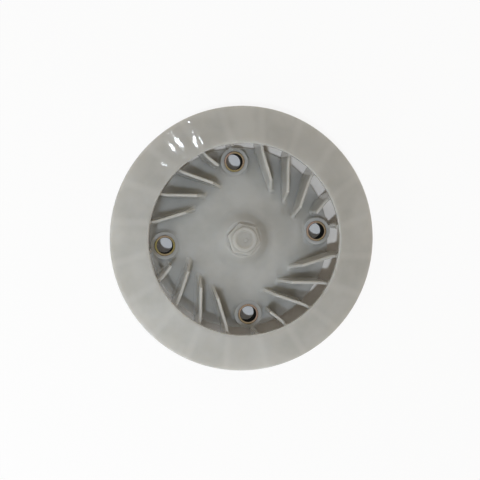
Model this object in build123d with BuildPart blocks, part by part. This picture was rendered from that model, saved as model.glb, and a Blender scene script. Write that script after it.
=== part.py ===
from build123d import *
from math import atan2, cos, radians, sin, sqrt, tan
import os

# Centrifugal cooling fan wheel, moulded in one piece, with four steel sleeves for its bolts.
# Millimetres. The wheel's axis is +Z, its rear plane is z = 0, and its inlet faces up.

# Front ring, the flat cone that covers the blades
wheel_radius = 70.0
inlet_radius = 50.0
wheel_height = 28.0
rim_drop = 7.7
ring_wall = 2.2
lip_land = 0.9
ring_edge_break = 0.5

# Domed back plate, seen through the inlet
mould_gap = 1.0
plate_edge = 3.0
dome_crown = 17.0
plate_wall = 2.8
plate_rim_width = 3.0
hollow_break_radius = 27.0

# Hub: a hexagon on a flared cone, with a round nub and the dished gate mark on top
cone_top_radius = 9.6
cone_top = 20.0
cone_foot_radius = 14.6
cone_flare_radius = 9.0
hexagon_across_flats = 15.8
hexagon_turn = -12.0
hexagon_top = 24.6
nub_radius = 6.7
nub_top = 26.2
gate_dish_radius = 4.9
gate_dish_depth = 0.8
hub_core_radius = 5.4
hub_cap = 3.0

# Blades
blade_count = 20
blade_phase = 7.5
blade_top_wall = 1.5
blade_draft = 0.5
blade_top_drop = 2.8
blade_tip_setback = 0.4
blade_lean = 27.5
tip_lean = 9.0
elbow_setback = 1.3
elbow_radius = 25.0
long_root_radius = 29.8
short_root_setback = 8.8
nose_slope = 3.2
nose_trim = 5.0

# Bosses and their steel sleeves
bolt_count = 4
bolt_circle_radius = 41.3
bolt_phase = 5.2
boss_radius = 7.5
boss_height = 10.8
head_room_radius = 7.9
sleeve_outer_radius = 5.55
sleeve_bore_radius = 4.25

# Sizes that follow from these
plate_radius = inlet_radius - mould_gap
rim_height = wheel_height - rim_drop
cone_angle = atan2(rim_drop, wheel_radius - inlet_radius)
ring_depth = ring_wall / cos(cone_angle)
cap_rise = dome_crown - plate_edge
dome_radius = (cap_rise**2 + plate_radius**2) / (2 * cap_rise)
dome_centre = dome_crown - dome_radius
hollow_radius = plate_radius - plate_rim_width
blade_pitch = 360 / blade_count
bolt_pitch = 360 / bolt_count
blades_per_bolt = blade_count // bolt_count
blade_top = wheel_height - blade_top_drop
tip_radius = wheel_radius - blade_tip_setback
blade_seat = ring_depth / 2
elbow_radius_from_axis = inlet_radius - elbow_setback
sleeve_seat_depth = max(boss_height, dome_crown)


def cap_height(radius, inset=0.0):
    """Height of the dome's front face at a radius, or of a face parallel to it and inset below it."""
    return dome_centre + sqrt((dome_radius - inset) ** 2 - radius**2)


def blade_point(radius, run_on):
    """A point of the blade's straight inner leg, further along it than a radius by a length."""
    lean = radians(blade_lean)
    foot = elbow_radius_from_axis * sin(lean)
    reach = elbow_radius_from_axis * cos(lean) - sqrt(radius**2 - foot**2) + run_on
    return (elbow_radius_from_axis - reach * cos(lean), -reach * sin(lean))


def blade_outline(root_radius, run_on):
    """Plan of one blade at the rear plane: a straight leg, a bend and a nearly radial outer leg."""
    run = wheel_radius - elbow_radius_from_axis
    tip = (elbow_radius_from_axis + run, run * tan(radians(tip_lean)))
    elbow = (elbow_radius_from_axis, 0)
    half_wall = blade_top_wall / 2 + blade_top * tan(radians(blade_draft))
    with BuildSketch() as outline:
        with BuildLine() as centre_line:
            FilletPolyline(tip, elbow, blade_point(root_radius, run_on), radius=elbow_radius)
            offset(amount=half_wall, side=Side.BOTH)
        make_face()
    return outline.sketch


def blade_set(places, root_radius, run_on=0.0):
    """The blades that start at one root radius: places counts the pitches past each bolt boss."""
    angles = [
        blade_phase + bolt_pitch * bolt + blade_pitch * place
        for bolt in range(bolt_count)
        for place in places
    ]
    plan = blade_outline(root_radius, run_on)
    return [plan.rotate(Axis.Z, angle) for angle in angles]


# Two short blades stand behind each boss, one of them cut to a stub by the bolt's head room
short_blades = blade_set(range(2), inlet_radius - short_root_setback)
long_blades = blade_set(range(2, blades_per_bolt), long_root_radius, nose_trim)

with BuildPart() as fan_wheel:
    # Blades, drawn at the rear plane and drafted towards the inlet
    for plan in long_blades + short_blades:
        with BuildSketch(Plane.XY) as blade_plan:
            add(plan)
        extrude(amount=wheel_height, taper=blade_draft)

    # What lies outside this outline is trimmed off the blades: their tops, sloping noses and tips
    nose_foot = cap_height(long_root_radius)
    nose_run = (blade_top - nose_foot) / nose_slope
    with BuildSketch(Plane.XZ) as blade_envelope:
        with BuildLine():
            Polyline(
                (long_root_radius - nose_foot / nose_slope, 0),
                (tip_radius, 0),
                (tip_radius, rim_height - blade_seat),
                (inlet_radius, wheel_height - blade_seat),
                (inlet_radius, blade_top),
                (long_root_radius + nose_run, blade_top),
                close=True,
            )
        make_face()
    revolve(axis=Axis.Z, mode=Mode.INTERSECT)

    # Back plate: a cap of a sphere that flares up to the hub cone
    with BuildSketch(Plane.XZ) as plate_profile:
        with BuildLine():
            plate_front = ThreePointArc(
                (plate_radius, plate_edge),
                (plate_radius / 2, cap_height(plate_radius / 2)),
                (cone_foot_radius, cap_height(cone_foot_radius)),
            )
            Polyline(
                plate_front @ 1,
                (cone_top_radius, cone_top),
                (0, cone_top),
                (0, 0),
                (plate_radius, 0),
                plate_front @ 0,
            )
        make_face()
        foot = plate_profile.vertices().sort_by_distance(plate_front @ 1)[0]
        fillet(foot, radius=cone_flare_radius)
    revolve(axis=Axis.Z)

    # Room above the bosses for the bolt heads
    with BuildSketch(Plane.XY.offset(boss_height)):
        with PolarLocations(bolt_circle_radius, bolt_count, start_angle=bolt_phase):
            Circle(head_room_radius)
    extrude(amount=wheel_height, mode=Mode.SUBTRACT)

    # Front ring
    with BuildSketch(Plane.XZ) as ring_profile:
        with BuildLine():
            Polyline(
                (inlet_radius, wheel_height - ring_depth),
                (inlet_radius, wheel_height),
                (inlet_radius + lip_land, wheel_height),
                (wheel_radius, rim_height),
                (wheel_radius, rim_height - ring_depth),
                close=True,
            )
        make_face()
        rim_corner = ring_profile.vertices().sort_by_distance((wheel_radius, rim_height))[0]
        chamfer(rim_corner, length=ring_edge_break)
    revolve(axis=Axis.Z)

    # Hexagon and nub
    with BuildSketch(Plane.XY.offset(cone_top)):
        RegularPolygon(hexagon_across_flats / 2, 6, major_radius=False, rotation=hexagon_turn)
    extrude(amount=hexagon_top - cone_top)
    with BuildSketch(Plane.XY.offset(hexagon_top)):
        Circle(nub_radius)
    extrude(amount=nub_top - hexagon_top)
    with BuildSketch(Plane.XY.offset(nub_top)):
        Circle(gate_dish_radius)
    extrude(amount=-gate_dish_depth, mode=Mode.SUBTRACT)

    # Hollow behind the dome, whose two cones keep to the plate's wall
    with BuildSketch(Plane.XZ) as hollow_profile:
        with BuildLine():
            Polyline(
                (0, 0),
                (hollow_radius, 0),
                (hollow_radius, cap_height(hollow_radius, plate_wall)),
                (hollow_break_radius, cap_height(hollow_break_radius, plate_wall)),
                (hub_core_radius, cap_height(hub_core_radius, plate_wall)),
                (hub_core_radius, hexagon_top - hub_cap),
                (0, hexagon_top - hub_cap),
                close=True,
            )
        make_face()
    revolve(axis=Axis.Z, mode=Mode.SUBTRACT)

    # Bosses, with the seats of the sleeves cut through them
    with BuildSketch(Plane.XY):
        with PolarLocations(bolt_circle_radius, bolt_count, start_angle=bolt_phase):
            Circle(boss_radius)
    extrude(amount=boss_height)
    with BuildSketch(Plane.XY):
        with PolarLocations(bolt_circle_radius, bolt_count, start_angle=bolt_phase):
            Circle(sleeve_outer_radius)
    extrude(amount=sleeve_seat_depth, mode=Mode.SUBTRACT)

sleeves = []
for number in range(bolt_count):
    angle = radians(bolt_phase + bolt_pitch * number)
    centre = (bolt_circle_radius * cos(angle), bolt_circle_radius * sin(angle), 0)
    with BuildPart(Plane(origin=centre)) as sleeve:
        Cylinder(sleeve_outer_radius, boss_height, align=(Align.CENTER, Align.CENTER, Align.MIN))
        Hole(sleeve_bore_radius)
    sleeve.part.label = f"bolt_sleeve_{number + 1}"
    sleeves.append(sleeve.part)

fan_wheel.part.label = "fan_wheel"

os.makedirs("parts", exist_ok=True)
export_step(fan_wheel.part, "parts/fan_wheel.step")
for sleeve_part in sleeves:
    export_step(sleeve_part, f"parts/{sleeve_part.label}.step")
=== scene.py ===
from math import cos, pi, radians, sin, sqrt, tan

import bmesh
import bpy
from mathutils import Matrix, Vector


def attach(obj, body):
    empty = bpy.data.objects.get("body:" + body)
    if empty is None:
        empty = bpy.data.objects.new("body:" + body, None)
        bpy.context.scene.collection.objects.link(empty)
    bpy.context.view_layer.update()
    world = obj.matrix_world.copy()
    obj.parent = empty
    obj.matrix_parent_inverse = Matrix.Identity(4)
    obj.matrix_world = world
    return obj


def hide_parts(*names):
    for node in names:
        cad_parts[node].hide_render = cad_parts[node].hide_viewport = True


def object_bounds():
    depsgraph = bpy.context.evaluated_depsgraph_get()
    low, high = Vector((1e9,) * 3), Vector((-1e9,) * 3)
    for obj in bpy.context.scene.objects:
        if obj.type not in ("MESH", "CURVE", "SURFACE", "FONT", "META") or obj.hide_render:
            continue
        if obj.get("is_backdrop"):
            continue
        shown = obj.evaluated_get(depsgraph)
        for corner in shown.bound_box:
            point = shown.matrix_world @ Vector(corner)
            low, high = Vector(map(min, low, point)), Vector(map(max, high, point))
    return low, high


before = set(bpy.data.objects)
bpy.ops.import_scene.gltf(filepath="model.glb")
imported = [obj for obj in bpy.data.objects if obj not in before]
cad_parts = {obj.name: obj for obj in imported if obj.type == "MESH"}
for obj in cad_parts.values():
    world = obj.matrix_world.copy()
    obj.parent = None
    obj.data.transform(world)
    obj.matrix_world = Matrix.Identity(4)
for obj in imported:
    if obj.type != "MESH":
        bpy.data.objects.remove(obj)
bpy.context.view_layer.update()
MM = 0.001


# Front ring: the flat cone that closes the blades towards the inlet. It is moulded in natural nylon in
# one piece with the blades and the back plate, and its lip runs in the inlet nozzle of the housing.
wheel_radius = 70.0
inlet_radius = 50.0
wheel_height = 28.0
rim_drop = 7.7
ring_wall = 2.2
lip_land = 0.9
ring_slope = rim_drop / (wheel_radius - inlet_radius)
ring_depth = ring_wall * sqrt(1 + ring_slope**2)
rim_height = wheel_height - rim_drop


def ring_underside(radius):
    """Height of the ring's rear face at a radius."""
    return wheel_height - ring_depth - ring_slope * (radius - inlet_radius)


def outline_object(name, corners):
    """A closed outline from corners (radius, height, rounding); each point carries its rounding."""
    curve = bpy.data.curves.new(name, "CURVE")
    curve.dimensions = "3D"
    spline = curve.splines.new("POLY")
    spline.points.add(len(corners) - 1)
    for point, (radius, height, rounding) in zip(spline.points, corners):
        point.co = (radius * MM, height * MM, 0, 1)
        point.radius = rounding * MM
    spline.use_cyclic_u = True
    made = bpy.data.objects.new(name, curve)
    bpy.context.scene.collection.objects.link(made)
    return made


class Field:
    """A number that flows through a node tree. Arithmetic with it adds Math nodes to the tree."""

    def __init__(self, tree, socket):
        self.tree = tree
        self.socket = socket

    def math(self, operation, *others):
        node = self.tree.nodes.new("ShaderNodeMath")
        node.operation = operation
        for socket, value in zip(node.inputs, (self, *others)):
            wire(self.tree, value, socket)
        return Field(self.tree, node.outputs[0])

    def __add__(self, other):
        return self.math("ADD", other)

    def __sub__(self, other):
        return self.math("SUBTRACT", other)

    def __mul__(self, other):
        return self.math("MULTIPLY", other)

    def __truediv__(self, other):
        return self.math("DIVIDE", other)


def wire(tree, value, socket):
    """Links a socket or a Field to an input, or gives the input a plain value."""
    if isinstance(value, Field):
        value = value.socket
    if isinstance(value, bpy.types.NodeSocket):
        tree.links.new(value, socket)
    else:
        socket.default_value = value


def add(tree, kind, inputs=None, **settings):
    """A new node with its settings, and its inputs by name or number."""
    node = tree.nodes.new(kind)
    for name, value in settings.items():
        setattr(node, name, value)
    for name, value in (inputs or {}).items():
        wire(tree, value, node.inputs[name])
    return node


def new_tree(name, inputs):
    """A geometry tree with named inputs (name, socket type, default) and one geometry output."""
    tree = bpy.data.node_groups.new(name, "GeometryNodeTree")
    for label, kind, default in inputs:
        socket = tree.interface.new_socket(label, in_out="INPUT", socket_type=kind)
        if default is not None:
            socket.default_value = default
    tree.interface.new_socket("Geometry", in_out="OUTPUT", socket_type="NodeSocketGeometry")
    return tree, tree.nodes.new("NodeGroupInput").outputs, tree.nodes.new("NodeGroupOutput").inputs


def turned_outline_tree():
    """Turns a closed outline about the axis: rounds its corners, splits its long runs, sweeps it round."""
    tree, given, result = new_tree("turned outline", [
        ("Outline", "NodeSocketObject", None),
        ("Steps round", "NodeSocketInt", 300),
        ("Longest run", "NodeSocketFloat", 2.0 * MM),
        ("Steps per radius", "NodeSocketFloat", 1.1 / MM),
    ])
    outline = add(tree, "GeometryNodeObjectInfo", {"Object": given["Outline"]})
    corner = Field(tree, add(tree, "GeometryNodeInputRadius").outputs[0])
    rounded = add(tree, "GeometryNodeFilletCurve", {
        "Curve": outline.outputs["Geometry"],
        "Count": corner * given["Steps per radius"] + 3.0,
        "Radius": corner,
    }, mode="POLY")
    length = Field(tree, add(tree, "GeometryNodeSplineParameter").outputs["Length"])
    index = Field(tree, add(tree, "GeometryNodeInputIndex").outputs[0])
    next_length = add(tree, "GeometryNodeFieldAtIndex", {"Index": index + 1.0, "Value": length})
    run = Field(tree, next_length.outputs[0]) - length
    cuts = (run / given["Longest run"]).math("FLOOR").math("MAXIMUM", 0.0)
    split = add(tree, "GeometryNodeSubdivideCurve", {"Curve": rounded.outputs[0], "Cuts": cuts})
    size = add(tree, "GeometryNodeAttributeDomainSize", {0: split.outputs[0]}, component="CURVE")
    count = Field(tree, size.outputs["Point Count"])
    around = Field(tree, given["Steps round"])
    grid = add(tree, "GeometryNodeMeshGrid", {"Vertices X": around + 1.0, "Vertices Y": count + 1.0})
    step = (index / (count + 1.0) + 0.0001).math("FLOOR")
    place = (index - step * (count + 1.0)).math("MODULO", count)
    sample = add(tree, "GeometryNodeSampleIndex", {
        "Geometry": split.outputs[0],
        "Value": add(tree, "GeometryNodeInputPosition").outputs[0],
        "Index": place,
    }, data_type="FLOAT_VECTOR", domain="POINT")
    parts = add(tree, "ShaderNodeSeparateXYZ", {0: sample.outputs[0]}).outputs
    radius = Field(tree, parts[0])
    angle = step * (2 * pi) / around
    position = add(tree, "ShaderNodeCombineXYZ", {
        "X": radius * angle.math("COSINE"),
        "Y": radius * angle.math("SINE"),
        "Z": parts[1],
    })
    swept = add(tree, "GeometryNodeSetPosition", {
        "Geometry": grid.outputs["Mesh"],
        "Position": position.outputs[0],
    })
    merged = add(tree, "GeometryNodeMergeByDistance", {"Geometry": swept.outputs[0], "Distance": 0.002 * MM})
    outwards = add(tree, "GeometryNodeFlipFaces", {"Mesh": merged.outputs[0]})
    wire(tree, outwards.outputs[0], result[0])
    return tree


turned_outline = turned_outline_tree()
ring_outline = outline_object("ring_outline", [
    (inlet_radius, wheel_height, 0.35),
    (inlet_radius + lip_land, wheel_height, 2.0),
    (wheel_radius, rim_height, 0.5),
    (wheel_radius, ring_underside(wheel_radius), 0.4),
    (inlet_radius, ring_underside(inlet_radius), 0.3),
])


# Back plate and hub: a dome about 3 mm thick that turns the air outwards, flared up to the hub in the
# middle. The hollow behind it keeps the nylon's wall even. The mould's gate was in the hub's dish.
plate_radius = 49.0
plate_edge = 3.0
dome_crown = 17.0
plate_wall = 2.8
plate_rim_width = 3.0
hollow_break_radius = 27.0
hub_foot_radius = 14.6
hub_flare = 9.0
hub_top_radius = 9.6
hub_top = 20.0
hexagon_top = 24.6
nub_radius = 6.7
nub_top = 26.2
dish_radius = 4.9
dish_depth = 0.8
core_radius = 5.4
core_top = 21.6
dome_steps = 22
dome_rise = dome_crown - plate_edge
dome_radius = (dome_rise**2 + plate_radius**2) / (2 * dome_rise)


def dome_height(radius, inset=0.0):
    """Height of the dome's front at a radius, or of a face inset below it."""
    return dome_crown - dome_radius + sqrt((dome_radius - inset) ** 2 - radius**2)


flare_end_radius = 17.4
dome_radii = [
    flare_end_radius + (plate_radius - flare_end_radius) * step / dome_steps for step in range(dome_steps)
]
hollow_radius = plate_radius - plate_rim_width
plate_outline = outline_object("plate_outline", [
    (0, nub_top - dish_depth, 0),
    (dish_radius - 0.9, nub_top - dish_depth, 1.2),
    (dish_radius, nub_top, 0.5),
    (nub_radius, nub_top, 0.9),
    (nub_radius, hub_top, 0),
    (hub_top_radius, hub_top, 0.5),
    (hub_foot_radius, dome_height(hub_foot_radius), hub_flare),
    *[(radius, dome_height(radius), 0) for radius in dome_radii],
    (plate_radius, plate_edge, 0.3),
    (plate_radius, 0, 0.3),
    (hollow_radius, 0, 0.3),
    (hollow_radius, dome_height(hollow_radius, plate_wall), 0.8),
    (hollow_break_radius, dome_height(hollow_break_radius, plate_wall), 3.0),
    (core_radius, dome_height(core_radius, plate_wall), 0.6),
    (core_radius, core_top, 0.5),
    (0, core_top, 0),
])


# Hexagon under the nub, moulded with the hub, by which a spanner holds the wheel while its bolts are
# tightened. The mould gives its corners and its top edge a small radius.
hexagon_flats = 15.8
hexagon_turn = -12.0
hexagon_corner = 1.4
hexagon_edge = 0.65
corner_steps = 5


def skin(name, rings, lids=True):
    """A closed mesh over rings of points, from ring to ring, with a lid on the first and the last."""
    mesh = bmesh.new()
    corners = [[mesh.verts.new(Vector(point) * MM) for point in ring] for ring in rings]
    for near, far in zip(corners, corners[1:]):
        for turn in range(len(near)):
            mesh.faces.new((near[turn - 1], near[turn], far[turn], far[turn - 1]))
    if lids:
        mesh.faces.new(corners[0])
        mesh.faces.new(corners[-1])
    bmesh.ops.remove_doubles(mesh, verts=mesh.verts, dist=0.001 * MM)
    bmesh.ops.recalc_face_normals(mesh, faces=mesh.faces)
    data = bpy.data.meshes.new(name)
    mesh.to_mesh(data)
    mesh.free()
    made = bpy.data.objects.new(name, data)
    bpy.context.scene.collection.objects.link(made)
    return made


def hexagon_ring(height, inset):
    """The hexagon's outline at a height, with its corners rounded and its sides moved in."""
    centre_radius = (hexagon_flats / 2 - hexagon_corner) / cos(radians(30))
    points = []
    for corner in range(6):
        middle = radians(hexagon_turn + 60 * corner)
        for step in range(corner_steps):
            way = middle + radians(60 * step / (corner_steps - 1) - 30)
            points.append((
                centre_radius * cos(middle) + (hexagon_corner - inset) * cos(way),
                centre_radius * sin(middle) + (hexagon_corner - inset) * sin(way),
                height,
            ))
    return points


def on_circle(point, radius):
    """A point moved level, straight towards the axis or away from it, to a radius."""
    x, y, height = point
    length = sqrt(x * x + y * y)
    return (x * radius / length, y * radius / length, height)


hexagon = skin("hexagon", [
    hexagon_ring(hub_top - 2, 0),
    *[
        hexagon_ring(hexagon_top - hexagon_edge * (1 - sin(way)), hexagon_edge * (1 - cos(way)))
        for way in (0, pi / 6, pi / 3, pi / 2)
    ],
    *[
        [on_circle(point, radius) for point in hexagon_ring(hexagon_top, hexagon_edge)]
        for radius in (nub_radius + 0.4, nub_radius - 1)
    ],
])


# The gate's mark: a low lump of nylon that stays in the dish where the sprue was broken off the moulding.
# It stands a little off the middle and is out of round. Its rings are pairs of radius and height.
gate_place = (0.5, -0.4)
gate_rings = [(1.25, -0.6), (1.2, 0.02), (1.0, 0.2), (0.85, 0.42), (0.55, 0.45)]
gate_steps = 18
gate_lobes = 0.16
gate_oval = 0.12
gate_tilt = 0.12
gate_mark = skin("gate_mark", [
    [
        (
            gate_place[0] + radius * cos(way) * (1 + gate_lobes * sin(3 * way + 1)),
            gate_place[1] + radius * sin(way) * (1 + gate_oval * sin(2 * way)),
            nub_top - dish_depth + height + gate_tilt * radius * sin(way + 2),
        )
        for way in [2 * pi * step / gate_steps for step in range(gate_steps)]
    ]
    for radius, height in gate_rings
])


# Bosses: four round pads of the moulding that hold the steel sleeves. A fillet joins each to the dome, and
# runs out where the plate ends behind it.
bolt_count = 4
bolt_circle = 41.3
bolt_phase = 5.2
boss_radius = 7.5
boss_height = 10.8
boss_fillet = 1.8
boss_edge = 0.6
level_step = 0.02
sleeve_radius = 5.55
head_room_radius = 7.9
boss_steps = 48


def boss_point(way, reach, height, above_dome):
    """A point round a boss, at a height over the rear plane or over the dome."""
    x = bolt_circle + (boss_radius + reach) * cos(way)
    y = (boss_radius + reach) * sin(way)
    if above_dome:
        height += dome_height(sqrt(x * x + y * y))
    return (x, y, height)


def boss_column(way):
    """The points up a boss's wall on one side of it, with the fillet that joins it to the dome."""
    wall = sqrt((bolt_circle + boss_radius * cos(way)) ** 2 + (boss_radius * sin(way)) ** 2)
    fillet = min(max(plate_radius - 0.1 - wall, 0.05), boss_fillet)
    turns = (0, pi / 8, pi / 4, 3 * pi / 8, pi / 2)
    column = [
        boss_point(way, -0.2, 0, False),
        boss_point(way, 0, 0.2, False),
        boss_point(way, 0, -plate_wall / 2, True),
        boss_point(way, fillet, -plate_wall / 3, True),
        *[boss_point(way, fillet * (1 - sin(turn)), fillet * (1 - cos(turn)), True) for turn in turns],
        *[
            boss_point(way, -boss_edge * (1 - cos(turn)), boss_height - boss_edge * (1 - sin(turn)), False)
            for turn in (0, pi / 6, pi / 3, pi / 2)
        ],
    ]
    # Where the dome is nearly as high as the boss, each level still stays a step below the next
    levels = len(column)
    return [
        (x, y, min(height, boss_height - level_step * (levels - 1 - level)))
        for level, (x, y, height) in enumerate(column)
    ]


boss_ways = [2 * pi * step / boss_steps for step in range(boss_steps)]
boss_rings = list(zip(*[boss_column(way) for way in boss_ways]))
for reach in (sleeve_radius + 0.5 - boss_radius, sleeve_radius - 1 - boss_radius):
    boss_rings.append([boss_point(way, reach, boss_height, False) for way in boss_ways])
boss = skin("boss", boss_rings)


# Blades: twenty leaning vanes with a straight inner leg, a bend and a nearly radial outer leg. They
# taper by the mould's draft, and grow out of the plate and into the ring with small fillets.
blade_count = 20
blade_phase = 7.5
blade_wall = 1.5
blade_draft = 0.5
blade_top = 25.2
tip_radius = 69.6
blade_lean = 27.5
tip_lean = 9.0
elbow_radius = 48.7
bend_radius = 25.0
long_root_radius = 29.8
short_root_radius = 41.2
short_blades = 2
nose_slope = 3.2
nose_fade = 18.0
blade_sink = 1.4
foot_fillet = 1.7
ring_fillet = 0.8
top_edge = 0.7
tip_edge = 0.35
blade_step = 1.4
nose_round = 0.9
lean = radians(blade_lean)
bend = lean - radians(tip_lean)
bend_reach = bend_radius * tan(bend / 2)
bend_length = bend_radius * bend


def on_line(way):
    """Point and heading of a blade's centre line, a way past the start of its bend."""
    heading = lean - min(max(way, 0), bend_length) / bend_radius
    inner = min(way, 0) - bend_reach
    outer = max(way - bend_length, 0)
    x = elbow_radius + inner * cos(lean) + bend_radius * (sin(lean) - sin(heading)) + outer * cos(heading)
    y = inner * sin(lean) + bend_radius * (cos(heading) - cos(lean)) + outer * sin(heading)
    return x, y, heading


def way_at(radius):
    """How far along its centre line a blade crosses a radius, on either of its two legs."""
    if radius < elbow_radius:
        return bend_reach - elbow_radius * cos(lean) + sqrt(radius**2 - (elbow_radius * sin(lean)) ** 2)
    side = radians(tip_lean)
    run = sqrt(radius**2 - (elbow_radius * sin(side)) ** 2) - elbow_radius * cos(side)
    return bend_length + run - bend_reach


def share(value, low, high):
    """How far a value has come from low to high, from 0 to 1."""
    return min(max((value - low) / (high - low), 0), 1)


def mix(start, end, part):
    return start + (end - start) * part


def blade_levels(radius):
    """Height, reach and half width of each level up a blade's wall at a radius, with its fillets."""
    # The blade stands on the dome, then in the plate's rim, and past the plate it stands free. Inside the
    # inlet its top is rounded, and past the inlet it runs up into the ring.
    free = share(radius, plate_radius - 0.6, plate_radius + 0.3)
    covered = share(radius, inlet_radius + 0.1, inlet_radius + 0.6)
    in_rim = share(radius, hollow_radius + 0.2, hollow_radius + 0.9)
    foot = mix(dome_height(min(radius, plate_radius - 0.6)), 0.25, free)
    bottom = mix(dome_height(min(radius, plate_radius)) - blade_sink, 0, in_rim)
    levels = [(bottom, mix(foot_fillet, -0.2, free))]
    for turn in (0, pi / 8, pi / 4, 3 * pi / 8, pi / 2):
        levels.append((foot + foot_fillet * (1 - cos(turn)), foot_fillet * (1 - sin(turn)) * (1 - free)))
    ceiling = ring_underside(radius)
    upper = []
    for turn in (0, pi / 6, pi / 3, pi / 2):
        upper.append((blade_top - top_edge * (1 - sin(turn)), -top_edge * (1 - cos(turn))))
    lower = []
    for turn in (pi / 2, pi / 4, 0):
        lower.append((ceiling - ring_fillet * (1 - cos(turn)), ring_fillet * (1 - sin(turn))))
    lower.append((ceiling + ring_depth / 2, ring_fillet))
    ends = [
        (mix(high[0], low[0], covered), mix(high[1], low[1], covered)) for high, low in zip(upper, lower)
    ]
    fillet_top = levels[-1][0]
    for part in (0.3, 0.6, 0.85):
        levels.append((mix(fillet_top, ends[0][0], part), 0))
    return [
        (height, reach, blade_wall / 2 + reach + (blade_top - height) * tan(radians(blade_draft)))
        for height, reach in levels + ends
    ]


def blade_ring(start, distance, width, inset, sloping):
    """The outline across a blade at a distance from its root: up one side and down the other."""
    x, y, _ = on_line(start + distance)
    sides = ([], [])
    for height, reach, half in blade_levels(sqrt(x * x + y * y)):
        back = -max(reach, 0) * max(1 - distance / 2, 0)
        if sloping:
            nose_radius = long_root_radius + max(height - dome_height(long_root_radius), 0) / nose_slope
            back += (way_at(nose_radius) - start) * max(1 - distance / nose_fade, 0) ** 2
        x, y, heading = on_line(start + distance + back)
        half = max(half * width - inset, 0)
        for side, sign in zip(sides, (1, -1)):
            side.append((x - sign * half * sin(heading), y + sign * half * cos(heading), height))
    return sides[0] + sides[1][::-1]


def blade_object(name, root_radius, sloping):
    """One blade, as it stands when the elbow of its centre line is on the X axis."""
    start = way_at(root_radius)
    if not sloping:
        start -= blade_wall / 2
    length = way_at(tip_radius) - start
    turns = [pi / 10 * step for step in range(6)]
    nose = [(nose_round * (1 - cos(turn)), sin(turn), 0) for turn in turns]
    steps = round((length - 2) / blade_step)
    wall = [(mix(nose_round, length - tip_edge, step / steps), 1, 0) for step in range(1, steps + 1)]
    tip = [(length - 0.1, 1, 0.1), (length, 1, tip_edge), (length, 0, 0)]
    return skin(
        name,
        [blade_ring(start, distance, width, inset, sloping) for distance, width, inset in nose + wall + tip],
        lids=False,
    )


long_blade = blade_object("long_blade", long_root_radius, True)
short_blade = blade_object("short_blade", short_root_radius, False)


# The whole moulding: outlines turned, blades and bosses set out round the axis, and all of it joined.
# The blades beside a boss are cut back for the bolt's head, and the seats of the sleeves are cut last.
seat_steps = 72
sharp_from = 38


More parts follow.
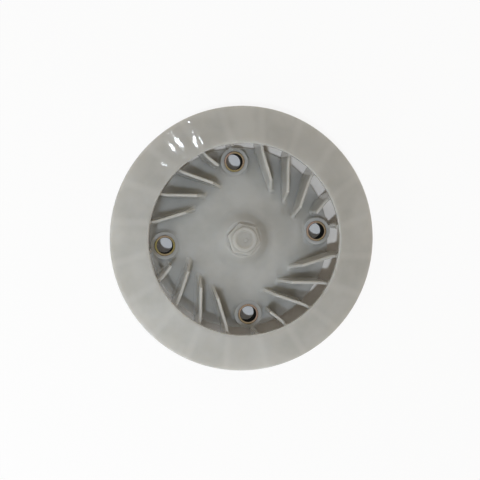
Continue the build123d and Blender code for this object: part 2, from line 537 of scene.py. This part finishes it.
def fan_wheel_tree():
    tree, given, result = new_tree("fan wheel", [
        ("Ring outline", "NodeSocketObject", None),
        ("Plate outline", "NodeSocketObject", None),
        ("Hexagon", "NodeSocketObject", None),
        ("Gate mark", "NodeSocketObject", None),
        ("Boss", "NodeSocketObject", None),
        ("Long blade", "NodeSocketObject", None),
        ("Short blade", "NodeSocketObject", None),
        ("Blades", "NodeSocketInt", blade_count),
        ("Blade phase", "NodeSocketFloat", radians(blade_phase)),
        ("Short blades per bolt", "NodeSocketInt", short_blades),
        ("Bolts", "NodeSocketInt", bolt_count),
        ("Bolt phase", "NodeSocketFloat", radians(bolt_phase)),
        ("Bolt circle", "NodeSocketFloat", bolt_circle * MM),
        ("Seat radius", "NodeSocketFloat", sleeve_radius * MM),
        ("Head room radius", "NodeSocketFloat", head_room_radius * MM),
        ("Boss height", "NodeSocketFloat", boss_height * MM),
        ("Sharp from", "NodeSocketFloat", radians(sharp_from)),
        ("Material", "NodeSocketMaterial", None),
    ])

    def solid(name):
        return add(tree, "GeometryNodeObjectInfo", {"Object": given[name]}).outputs["Geometry"]

    def turned(name):
        return add(tree, "GeometryNodeGroup", {"Outline": given[name]}, node_tree=turned_outline).outputs[0]

    def cylinder(radius, low, depth):
        """A cylinder on the bolt circle that stands on a height and is a depth long."""
        place = add(tree, "ShaderNodeCombineXYZ", {"X": given["Bolt circle"], "Z": low + depth / 2})
        made = add(tree, "GeometryNodeMeshCylinder", {
            "Vertices": seat_steps,
            "Radius": radius,
            "Depth": depth,
        })
        moved = add(tree, "GeometryNodeTransform", {
            "Geometry": made.outputs["Mesh"],
            "Translation": place.outputs[0],
        })
        return moved.outputs[0]

    def set_round(shape, number, phase, chosen=True):
        """Copies of a shape, turned about the axis by equal steps."""
        points = add(tree, "GeometryNodePoints", {"Count": number})
        index = Field(tree, add(tree, "GeometryNodeInputIndex").outputs[0])
        angle = index * (2 * pi) / number + phase
        turn = add(tree, "ShaderNodeCombineXYZ", {"Z": angle})
        copies = add(tree, "GeometryNodeInstanceOnPoints", {
            "Points": points.outputs[0],
            "Selection": chosen,
            "Instance": shape,
            "Rotation": turn.outputs[0],
        })
        return add(tree, "GeometryNodeRealizeInstances", {"Geometry": copies.outputs[0]}).outputs[0]

    def boolean(operation, first, others):
        """The union of all the shapes, or the first one less the others."""
        node = add(tree, "GeometryNodeMeshBoolean", operation=operation, solver="MANIFOLD")
        if operation == "UNION":
            others = [first, *others]
        else:
            wire(tree, first, node.inputs["Mesh 1"])
        for shape in others:
            tree.links.new(shape, node.inputs["Mesh 2"])
        return node.outputs["Mesh"]

    number = add(tree, "GeometryNodeInputIndex").outputs[0]
    place = Field(tree, number).math("MODULO", Field(tree, given["Blades"]) / given["Bolts"])
    short = place.math("LESS_THAN", Field(tree, given["Short blades per bolt"]) - 0.5)
    longer = place.math("GREATER_THAN", Field(tree, given["Short blades per bolt"]) - 0.5)
    height = Field(tree, given["Boss height"])
    head_room = cylinder(given["Head room radius"], height, height * 3.0)
    seat = cylinder(given["Seat radius"], height * -0.5, height * 3.0)
    around_bolts = (given["Bolts"], given["Bolt phase"])
    around_blades = (given["Blades"], given["Blade phase"])
    short_set = set_round(solid("Short blade"), *around_blades, short)
    long_set = set_round(solid("Long blade"), *around_blades, longer)
    short_set = boolean("DIFFERENCE", short_set, [set_round(head_room, *around_bolts)])
    whole = boolean("UNION", turned("Plate outline"), [
        turned("Ring outline"),
        solid("Hexagon"),
        solid("Gate mark"),
        set_round(solid("Boss"), *around_bolts),
        short_set,
        long_set,
    ])
    bored = boolean("DIFFERENCE", whole, [set_round(seat, *around_bolts)])
    smooth = add(tree, "GeometryNodeSetShadeSmooth", {"Geometry": bored}, domain="FACE")
    angle = Field(tree, add(tree, "GeometryNodeInputMeshEdgeAngle").outputs["Unsigned Angle"])
    sharp = add(tree, "GeometryNodeSetShadeSmooth", {
        "Geometry": smooth.outputs[0],
        "Selection": angle.math("GREATER_THAN", given["Sharp from"]),
        "Shade Smooth": False,
    }, domain="EDGE")
    realized = add(tree, "GeometryNodeRealizeInstances", {"Geometry": sharp.outputs[0]})
    coated = add(tree, "GeometryNodeSetMaterial", {
        "Geometry": realized.outputs[0],
        "Material": given["Material"],
    })
    wire(tree, coated.outputs[0], result[0])
    return tree


def grown(name, tree, **values):
    """A plain mesh object from a tree, whose inputs are given by name with _ for each space."""
    carrier = bpy.data.objects.new(name + "_carrier", bpy.data.meshes.new(name + "_carrier"))
    bpy.context.scene.collection.objects.link(carrier)
    modifier = carrier.modifiers.new("shape", "NODES")
    modifier.node_group = tree
    for item in tree.interface.items_tree:
        label = item.name.replace(" ", "_").lower()
        if item.in_out == "INPUT" and label in values:
            modifier[item.identifier] = values[label]
    bpy.context.view_layer.update()
    depsgraph = bpy.context.evaluated_depsgraph_get()
    mesh = bpy.data.meshes.new_from_object(carrier.evaluated_get(depsgraph), depsgraph=depsgraph)
    mesh.name = name
    bpy.data.objects.remove(carrier)
    made = bpy.data.objects.new(name, mesh)
    bpy.context.scene.collection.objects.link(made)
    return made


# Natural nylon, glossy from the mould and slightly see-through. Over each blade the ring has sunk a little
# as it cooled, a faint dip in the bump, and a painted paler band there stands for light let through the
# thicker nylon. The flow of the melt leaves soft clouds.
melt_dark = (0.455, 0.451, 0.43, 1)
melt_pale = (0.53, 0.525, 0.503, 1)
painted_glow_colour = (0.6, 0.593, 0.57, 1)
painted_glow_share = 0.35
band_half_width = 3.4
band_from_lip = 1.6
band_below_rim = 0.4
band_sink = 0.012
cloud_height = 0.03
grain_height = 0.001
smoothest = 0.025
roughest = 0.045
light_reach = 12.0
light_reach_by_colour = (1.0, 0.9, 0.78)


def material_tree(name):
    material = bpy.data.materials.new(name)
    material.use_nodes = True
    return material, material.node_tree, material.node_tree.nodes["Principled BSDF"]


def blended(tree, share_of_second, first, second):
    """One colour, or the other where the share is 1."""
    node = add(tree, "ShaderNodeMix", data_type="RGBA")
    for value, place in ((share_of_second, 0), (first, 6), (second, 7)):
        wire(tree, value, node.inputs[place])
    return node.outputs[2]


def over_blades(tree, x, y, radius):
    """1 in the middle of the band over a blade, 0 beside it."""
    pitch = 2 * pi / blade_count
    line_angle = (radius - elbow_radius * MM) / radius * tan(radians(tip_lean))
    angle = y.math("ARCTAN2", x) - line_angle - radians(blade_phase) + pitch / 2
    from_middle = (angle.math("FLOORED_MODULO", pitch) - pitch / 2).math("ABSOLUTE") * radius
    band = add(tree, "ShaderNodeMapRange", {
        "Value": from_middle,
        "From Min": 0.0,
        "From Max": band_half_width * MM,
        "To Min": 1.0,
        "To Max": 0.0,
    }, interpolation_type="SMOOTHERSTEP")
    past_lip = radius.math("GREATER_THAN", (inlet_radius + band_from_lip) * MM)
    return Field(tree, band.outputs[0]) * past_lip


def natural_nylon():
    material, tree, shader = material_tree("natural_nylon")
    place = add(tree, "ShaderNodeTexCoord").outputs["Object"]
    x, y, z = [Field(tree, part) for part in add(tree, "ShaderNodeSeparateXYZ", {0: place}).outputs]
    radius = (x * x + y * y).math("SQRT")
    cloud = add(tree, "ShaderNodeTexNoise", {
        "Vector": place,
        "Scale": 55.0,
        "Detail": 3.0,
        "Roughness": 0.55,
    })
    grain = add(tree, "ShaderNodeTexNoise", {
        "Vector": place,
        "Scale": 900.0,
        "Detail": 4.0,
        "Roughness": 0.6,
    })
    cloudy = add(tree, "ShaderNodeMapRange", {
        "Value": cloud.outputs[0],
        "From Min": 0.35,
        "From Max": 0.65,
    })
    melt = blended(tree, cloudy.outputs[0], melt_dark, melt_pale)
    band = over_blades(tree, x, y, radius)
    # Painted glow: a paler colour over each blade, on the front side only, for light through the thicker
    # nylon
    top_side = z.math("GREATER_THAN", (rim_height - band_below_rim) * MM)
    colour = blended(tree, band * top_side * painted_glow_share, melt, painted_glow_colour)
    wire(tree, colour, shader.inputs["Base Color"])
    rough = add(tree, "ShaderNodeMapRange", {
        "Value": grain.outputs[0],
        "From Min": 0.3,
        "From Max": 0.7,
        "To Min": smoothest,
        "To Max": roughest,
    })
    wire(tree, rough.outputs[0], shader.inputs["Roughness"])
    height = Field(tree, grain.outputs[0]) * (grain_height * MM) - band * (band_sink * MM)
    height = height + Field(tree, cloud.outputs[0]) * (cloud_height * MM)
    bump = add(tree, "ShaderNodeBump", {"Height": height, "Strength": 1.0, "Distance": 1.0})
    wire(tree, bump.outputs[0], shader.inputs["Normal"])
    shader.inputs["IOR"].default_value = 1.53
    shader.inputs["Subsurface Weight"].default_value = 1.0
    shader.inputs["Subsurface Radius"].default_value = light_reach_by_colour
    shader.inputs["Subsurface Scale"].default_value = light_reach * MM
    return material


wheel = grown(
    "fan_wheel_moulding",
    fan_wheel_tree(),
    ring_outline=ring_outline,
    plate_outline=plate_outline,
    hexagon=hexagon,
    gate_mark=gate_mark,
    boss=boss,
    long_blade=long_blade,
    short_blade=short_blade,
    material=natural_nylon(),
)
for helper in (ring_outline, plate_outline, hexagon, gate_mark, boss, long_blade, short_blade):
    bpy.data.objects.remove(helper)
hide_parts("fan_wheel")
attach(wheel, "root")


# Bolt sleeves: four turned steel tubes, plated yellow, that the nylon was moulded round. They carry the
# bolts' clamping force, so each ends level with its boss, with a small chamfer inside and outside.
bore_radius = 4.25
sleeve_break = 0.3
bore_break = 0.45
sleeve_steps = 96
plate_olive = (0.21, 0.18, 0.07, 1)
plate_pink = (0.29, 0.21, 0.17, 1)
bore_painted_shade = (0.012, 0.01, 0.008, 1)
bore_roughening = 0.55


def bolt_sleeve_tree():
    tree, given, result = new_tree("bolt sleeve", [
        ("Outline", "NodeSocketObject", None),
        ("Number", "NodeSocketInt", 0),
        ("Bolts", "NodeSocketInt", bolt_count),
        ("Bolt circle", "NodeSocketFloat", bolt_circle * MM),
        ("Bolt phase", "NodeSocketFloat", radians(bolt_phase)),
        ("Material", "NodeSocketMaterial", None),
    ])
    tube = add(tree, "GeometryNodeGroup", {
        "Outline": given["Outline"],
        "Steps round": sleeve_steps,
    }, node_tree=turned_outline)
    angle = Field(tree, given["Number"]) * (2 * pi) / given["Bolts"] + given["Bolt phase"]
    place = add(tree, "ShaderNodeCombineXYZ", {
        "X": angle.math("COSINE") * given["Bolt circle"],
        "Y": angle.math("SINE") * given["Bolt circle"],
    })
    moved = add(tree, "GeometryNodeTransform", {
        "Geometry": tube.outputs[0],
        "Translation": place.outputs[0],
    })
    realized = add(tree, "GeometryNodeRealizeInstances", {"Geometry": moved.outputs[0]})
    coated = add(tree, "GeometryNodeSetMaterial", {
        "Geometry": realized.outputs[0],
        "Material": given["Material"],
    })
    wire(tree, coated.outputs[0], result[0])
    return tree


def plated_steel():
    """Zinc plate with a yellow passivation, which drifts between straw and pink, and fine turning marks."""
    material, tree, shader = material_tree("plated_steel")
    place = add(tree, "ShaderNodeTexCoord").outputs["Object"]
    drift = add(tree, "ShaderNodeTexNoise", {"Vector": place, "Scale": 90.0, "Detail": 2.0})
    marks = add(tree, "ShaderNodeTexNoise", {"Vector": place, "Scale": 1600.0, "Detail": 3.0})
    tint = add(tree, "ShaderNodeMapRange", {"Value": drift.outputs[0], "From Min": 0.35, "From Max": 0.65})
    plate = blended(tree, tint.outputs[0], plate_olive, plate_pink)
    x, y, _ = [Field(tree, part) for part in add(tree, "ShaderNodeSeparateXYZ", {0: place}).outputs]
    turn = y.math("ARCTAN2", x) - radians(bolt_phase) + pi / bolt_count
    turn = turn.math("FLOORED_MODULO", 2 * pi / bolt_count) - pi / bolt_count
    radius = (x * x + y * y).math("SQRT")
    across = radius * turn.math("SINE")
    along = radius * turn.math("COSINE") - bolt_circle * MM
    from_axis = (across * across + along * along).math("SQRT")
    # Inside the bore the colour is nearly black, painted shade for the tube's dark hollow, and the surface
    # is rougher
    inside = from_axis.math("LESS_THAN", (bore_radius + 0.12) * MM)
    colour = blended(tree, inside, plate, bore_painted_shade)
    wire(tree, colour, shader.inputs["Base Color"])
    rough = add(tree, "ShaderNodeMapRange", {"Value": marks.outputs[0], "To Min": 0.18, "To Max": 0.42})
    roughness = Field(tree, rough.outputs[0]) + inside * bore_roughening
    wire(tree, roughness, shader.inputs["Roughness"])
    height = Field(tree, marks.outputs[0]) * (0.02 * MM)
    bump = add(tree, "ShaderNodeBump", {"Height": height, "Strength": 1.0, "Distance": 1.0})
    wire(tree, bump.outputs[0], shader.inputs["Normal"])
    shader.inputs["Metallic"].default_value = 1.0
    return material


sleeve_outline = outline_object("sleeve_outline", [
    (bore_radius, boss_height, bore_break),
    (sleeve_radius, boss_height, sleeve_break),
    (sleeve_radius, 0, sleeve_break),
    (bore_radius, 0, bore_break),
])
sleeve_tree = bolt_sleeve_tree()
sleeve_steel = plated_steel()
for number in range(bolt_count):
    sleeve = grown(
        f"steel_sleeve_{number + 1}",
        sleeve_tree,
        outline=sleeve_outline,
        number=number,
        material=sleeve_steel,
    )
    sleeve.data.shade_smooth()
    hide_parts(f"bolt_sleeve_{number + 1}")
    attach(sleeve, "root")
bpy.data.objects.remove(sleeve_outline)


# The pale sheet that the wheel lies on. It is a clean white round the wheel. Under the slots beside the
# plate it is painted warmer, as the brown shade under the nylon, and under the sleeves it is painted cooler,
# as bluish light, with a faint painted glow for the camera.
sheet_half_width = 1.5
sheet_white = (0.97, 0.97, 0.97, 1)
sheet_painted_warm_shade = (0.9, 0.865, 0.84, 1)
sheet_painted_cool_light = (0.99, 0.99, 1.0, 1)
slots_from = 47.0
white_from = 62.0
all_white_from = 69.0
white_shine = 0.9
painted_bore_glow = 0.04


def sheet_material():
    material, tree, shader = material_tree("pale_sheet")
    place = add(tree, "ShaderNodeTexCoord").outputs["Object"]
    x, y, _ = [Field(tree, part) for part in add(tree, "ShaderNodeSeparateXYZ", {0: place}).outputs]
    radius = (x * x + y * y).math("SQRT")
    outside = add(tree, "ShaderNodeMapRange", {
        "Value": radius,
        "From Min": white_from * MM,
        "From Max": all_white_from * MM,
        "To Min": 0.0,
        "To Max": 1.0,
    })
    in_slots = radius.math("GREATER_THAN", slots_from * MM)
    # Painted shade and light under the wheel: warm under the slots, cool under the sleeves
    under_wheel = blended(tree, in_slots, sheet_painted_cool_light, sheet_painted_warm_shade)
    colour = blended(tree, outside.outputs[0], under_wheel, sheet_white)
    wire(tree, colour, shader.inputs["Base Color"])
    shader.inputs["Roughness"].default_value = 0.7
    seen = Field(tree, add(tree, "ShaderNodeLightPath").outputs["Is Camera Ray"])
    white = add(tree, "ShaderNodeEmission", {"Color": (1, 1, 1, 1), "Strength": 1.0})
    # The faint glow under the sleeves is painted light; round the wheel the glow only makes the floor evenly
    # white
    shine = (in_slots * -painted_bore_glow + painted_bore_glow).math("MAXIMUM", outside.outputs[0])
    both = add(tree, "ShaderNodeMixShader", {
        0: seen * shine * white_shine,
        1: shader.outputs[0],
        2: white.outputs[0],
    })
    wire(tree, both.outputs[0], tree.nodes["Material Output"].inputs["Surface"])
    return material


sheet_mesh = bpy.data.meshes.new("pale_sheet")
sheet_corners = [
    (-sheet_half_width, -sheet_half_width, 0),
    (sheet_half_width, -sheet_half_width, 0),
    (sheet_half_width, sheet_half_width, 0),
    (-sheet_half_width, sheet_half_width, 0),
]
sheet_mesh.from_pydata(sheet_corners, [], [(0, 1, 2, 3)])
sheet_mesh.materials.append(sheet_material())
sheet = bpy.data.objects.new("pale_sheet", sheet_mesh)
bpy.context.scene.collection.objects.link(sheet)
sheet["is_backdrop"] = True


# Light: a sun-like lamp high at the lower left and a broad soft one lower down beside it. The lit panes of
# a window, ten at the upper left and a small one at the lower left, show as streaks on the glossy ring.
daylight = (0.84, 0.92, 1.0)
sun_share = 0.38
sun_azimuth = 226
sun_off_axis = 16.5
sun_width = 3
soft_share = 0.3
soft_azimuth = 222
soft_off_axis = 60
soft_width = 0.3
soft_distance = 0.5
pane_distance = 2.0
pane_brightness = 60.0
panes = [
    # azimuth, angle off the axis, width and height in degrees, share of the brightness
    (118.2, 46.2, 2.0, 0.60, 1.3),
    (122.6, 45.8, 1.3, 0.50, 1.3),
    (120.8, 44.5, 2.2, 0.14, 1.2),
    (107.0, 46.5, 0.35, 0.80, 2.0),
    (109.8, 46.4, 0.35, 0.70, 1.8),
    (118.5, 47.6, 2.5, 0.15, 1.5),
    (108.6, 48.2, 2.0, 0.15, 1.5),
    (132.5, 44.8, 2.2, 0.20, 0.5),
    (134.0, 46.8, 1.4, 0.20, 1.0),
    (86.6, 46.3, 1.2, 0.20, 1.6),
    (214.8, 48.45, 0.8, 0.12, 2.5),
]


def pointing(place, aim, upwards=(0, 1, 0)):
    """Turns a lamp or a camera at a place so that it looks at a point, with its +Y upwards."""
    back = (place - aim).normalized()
    side = Vector(upwards).cross(back).normalized()
    turn = Matrix((side, back.cross(side), back)).transposed().to_4x4()
    return Matrix.Translation(place) @ turn


def direction(azimuth, off_axis):
    """The way to a lamp, from its azimuth round the wheel and its angle off the wheel's axis."""
    around = radians(azimuth)
    away = radians(off_axis)
    return Vector((sin(away) * cos(around), sin(away) * sin(around), cos(away)))


def lamp(name, kind, place, energy, upwards=(0, 1, 0)):
    light = bpy.data.lights.new(name, kind)
    light.energy = energy
    light.color = daylight
    made = bpy.data.objects.new(name, light)
    made.matrix_world = pointing(place, Vector((0, 0, rim_height * MM)), upwards)
    bpy.context.scene.collection.objects.link(made)
    return light


def flat_lamp(name, place, width, height, radiance, upwards=(0, 1, 0)):
    """A rectangular lamp that looks as bright as its radiance."""
    light = lamp(name, "AREA", place, radiance * pi * width * height, upwards)
    light.shape = "RECTANGLE"
    light.size = width
    light.size_y = height


key = lamp("key", "SUN", direction(sun_azimuth, sun_off_axis), sun_share * pi)
key.angle = radians(sun_width)
bpy.data.objects["key"].visible_glossy = False
soft_radiance = soft_share * pi * soft_distance**2 / soft_width**2
soft_place = direction(soft_azimuth, soft_off_axis) * soft_distance
flat_lamp("soft", soft_place, soft_width, soft_width, soft_radiance)
bpy.data.objects["soft"].visible_glossy = False
for number, (azimuth, off_axis, wide, high, bright) in enumerate(panes):
    width = radians(wide) * sin(radians(off_axis)) * pane_distance
    height = radians(high) * pane_distance
    place = direction(azimuth, off_axis) * pane_distance
    flat_lamp(f"pane_{number + 1}", place, width, height, pane_brightness * bright, (0, 0, 1))


# Room: white where the camera, a gloss or a clear piece looks at it, and a dimmer warm grey as light on
# the wheel, so that the lamps give the shading. It has no picture on it.
room_white = (1, 1, 1, 1)
room_light = (0.285, 0.24, 0.177, 1)
world = bpy.data.worlds.new("room")
bpy.context.scene.world = world
world.use_nodes = True
room = world.node_tree
background = room.nodes["Background"]
path = add(room, "ShaderNodeLightPath").outputs
seen = Field(room, path["Is Camera Ray"]).math("MAXIMUM", path["Is Glossy Ray"])
seen = seen.math("MAXIMUM", path["Is Transmission Ray"])
wire(room, blended(room, seen, room_light, room_white), background.inputs["Color"])


# Camera: nearly half a metre over the wheel and a little off its axis, towards the upper left of the
# picture, from where the photograph seems to be taken. It looks at the wheel's middle, with +Y upwards.
camera_place = Vector((-58, 21, 478)) * MM
camera_aim = Vector((-1.9, -0.5, 20)) * MM
camera = bpy.data.cameras.new("camera")
camera.sensor_width = 36
camera.lens = 65.6
camera.clip_start = 0.01
camera_object = bpy.data.objects.new("camera", camera)
camera_object.matrix_world = pointing(camera_place, camera_aim)
bpy.context.scene.collection.objects.link(camera_object)
bpy.context.scene.camera = camera_object
bpy.context.scene.view_settings.view_transform = "Standard"


low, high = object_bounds()
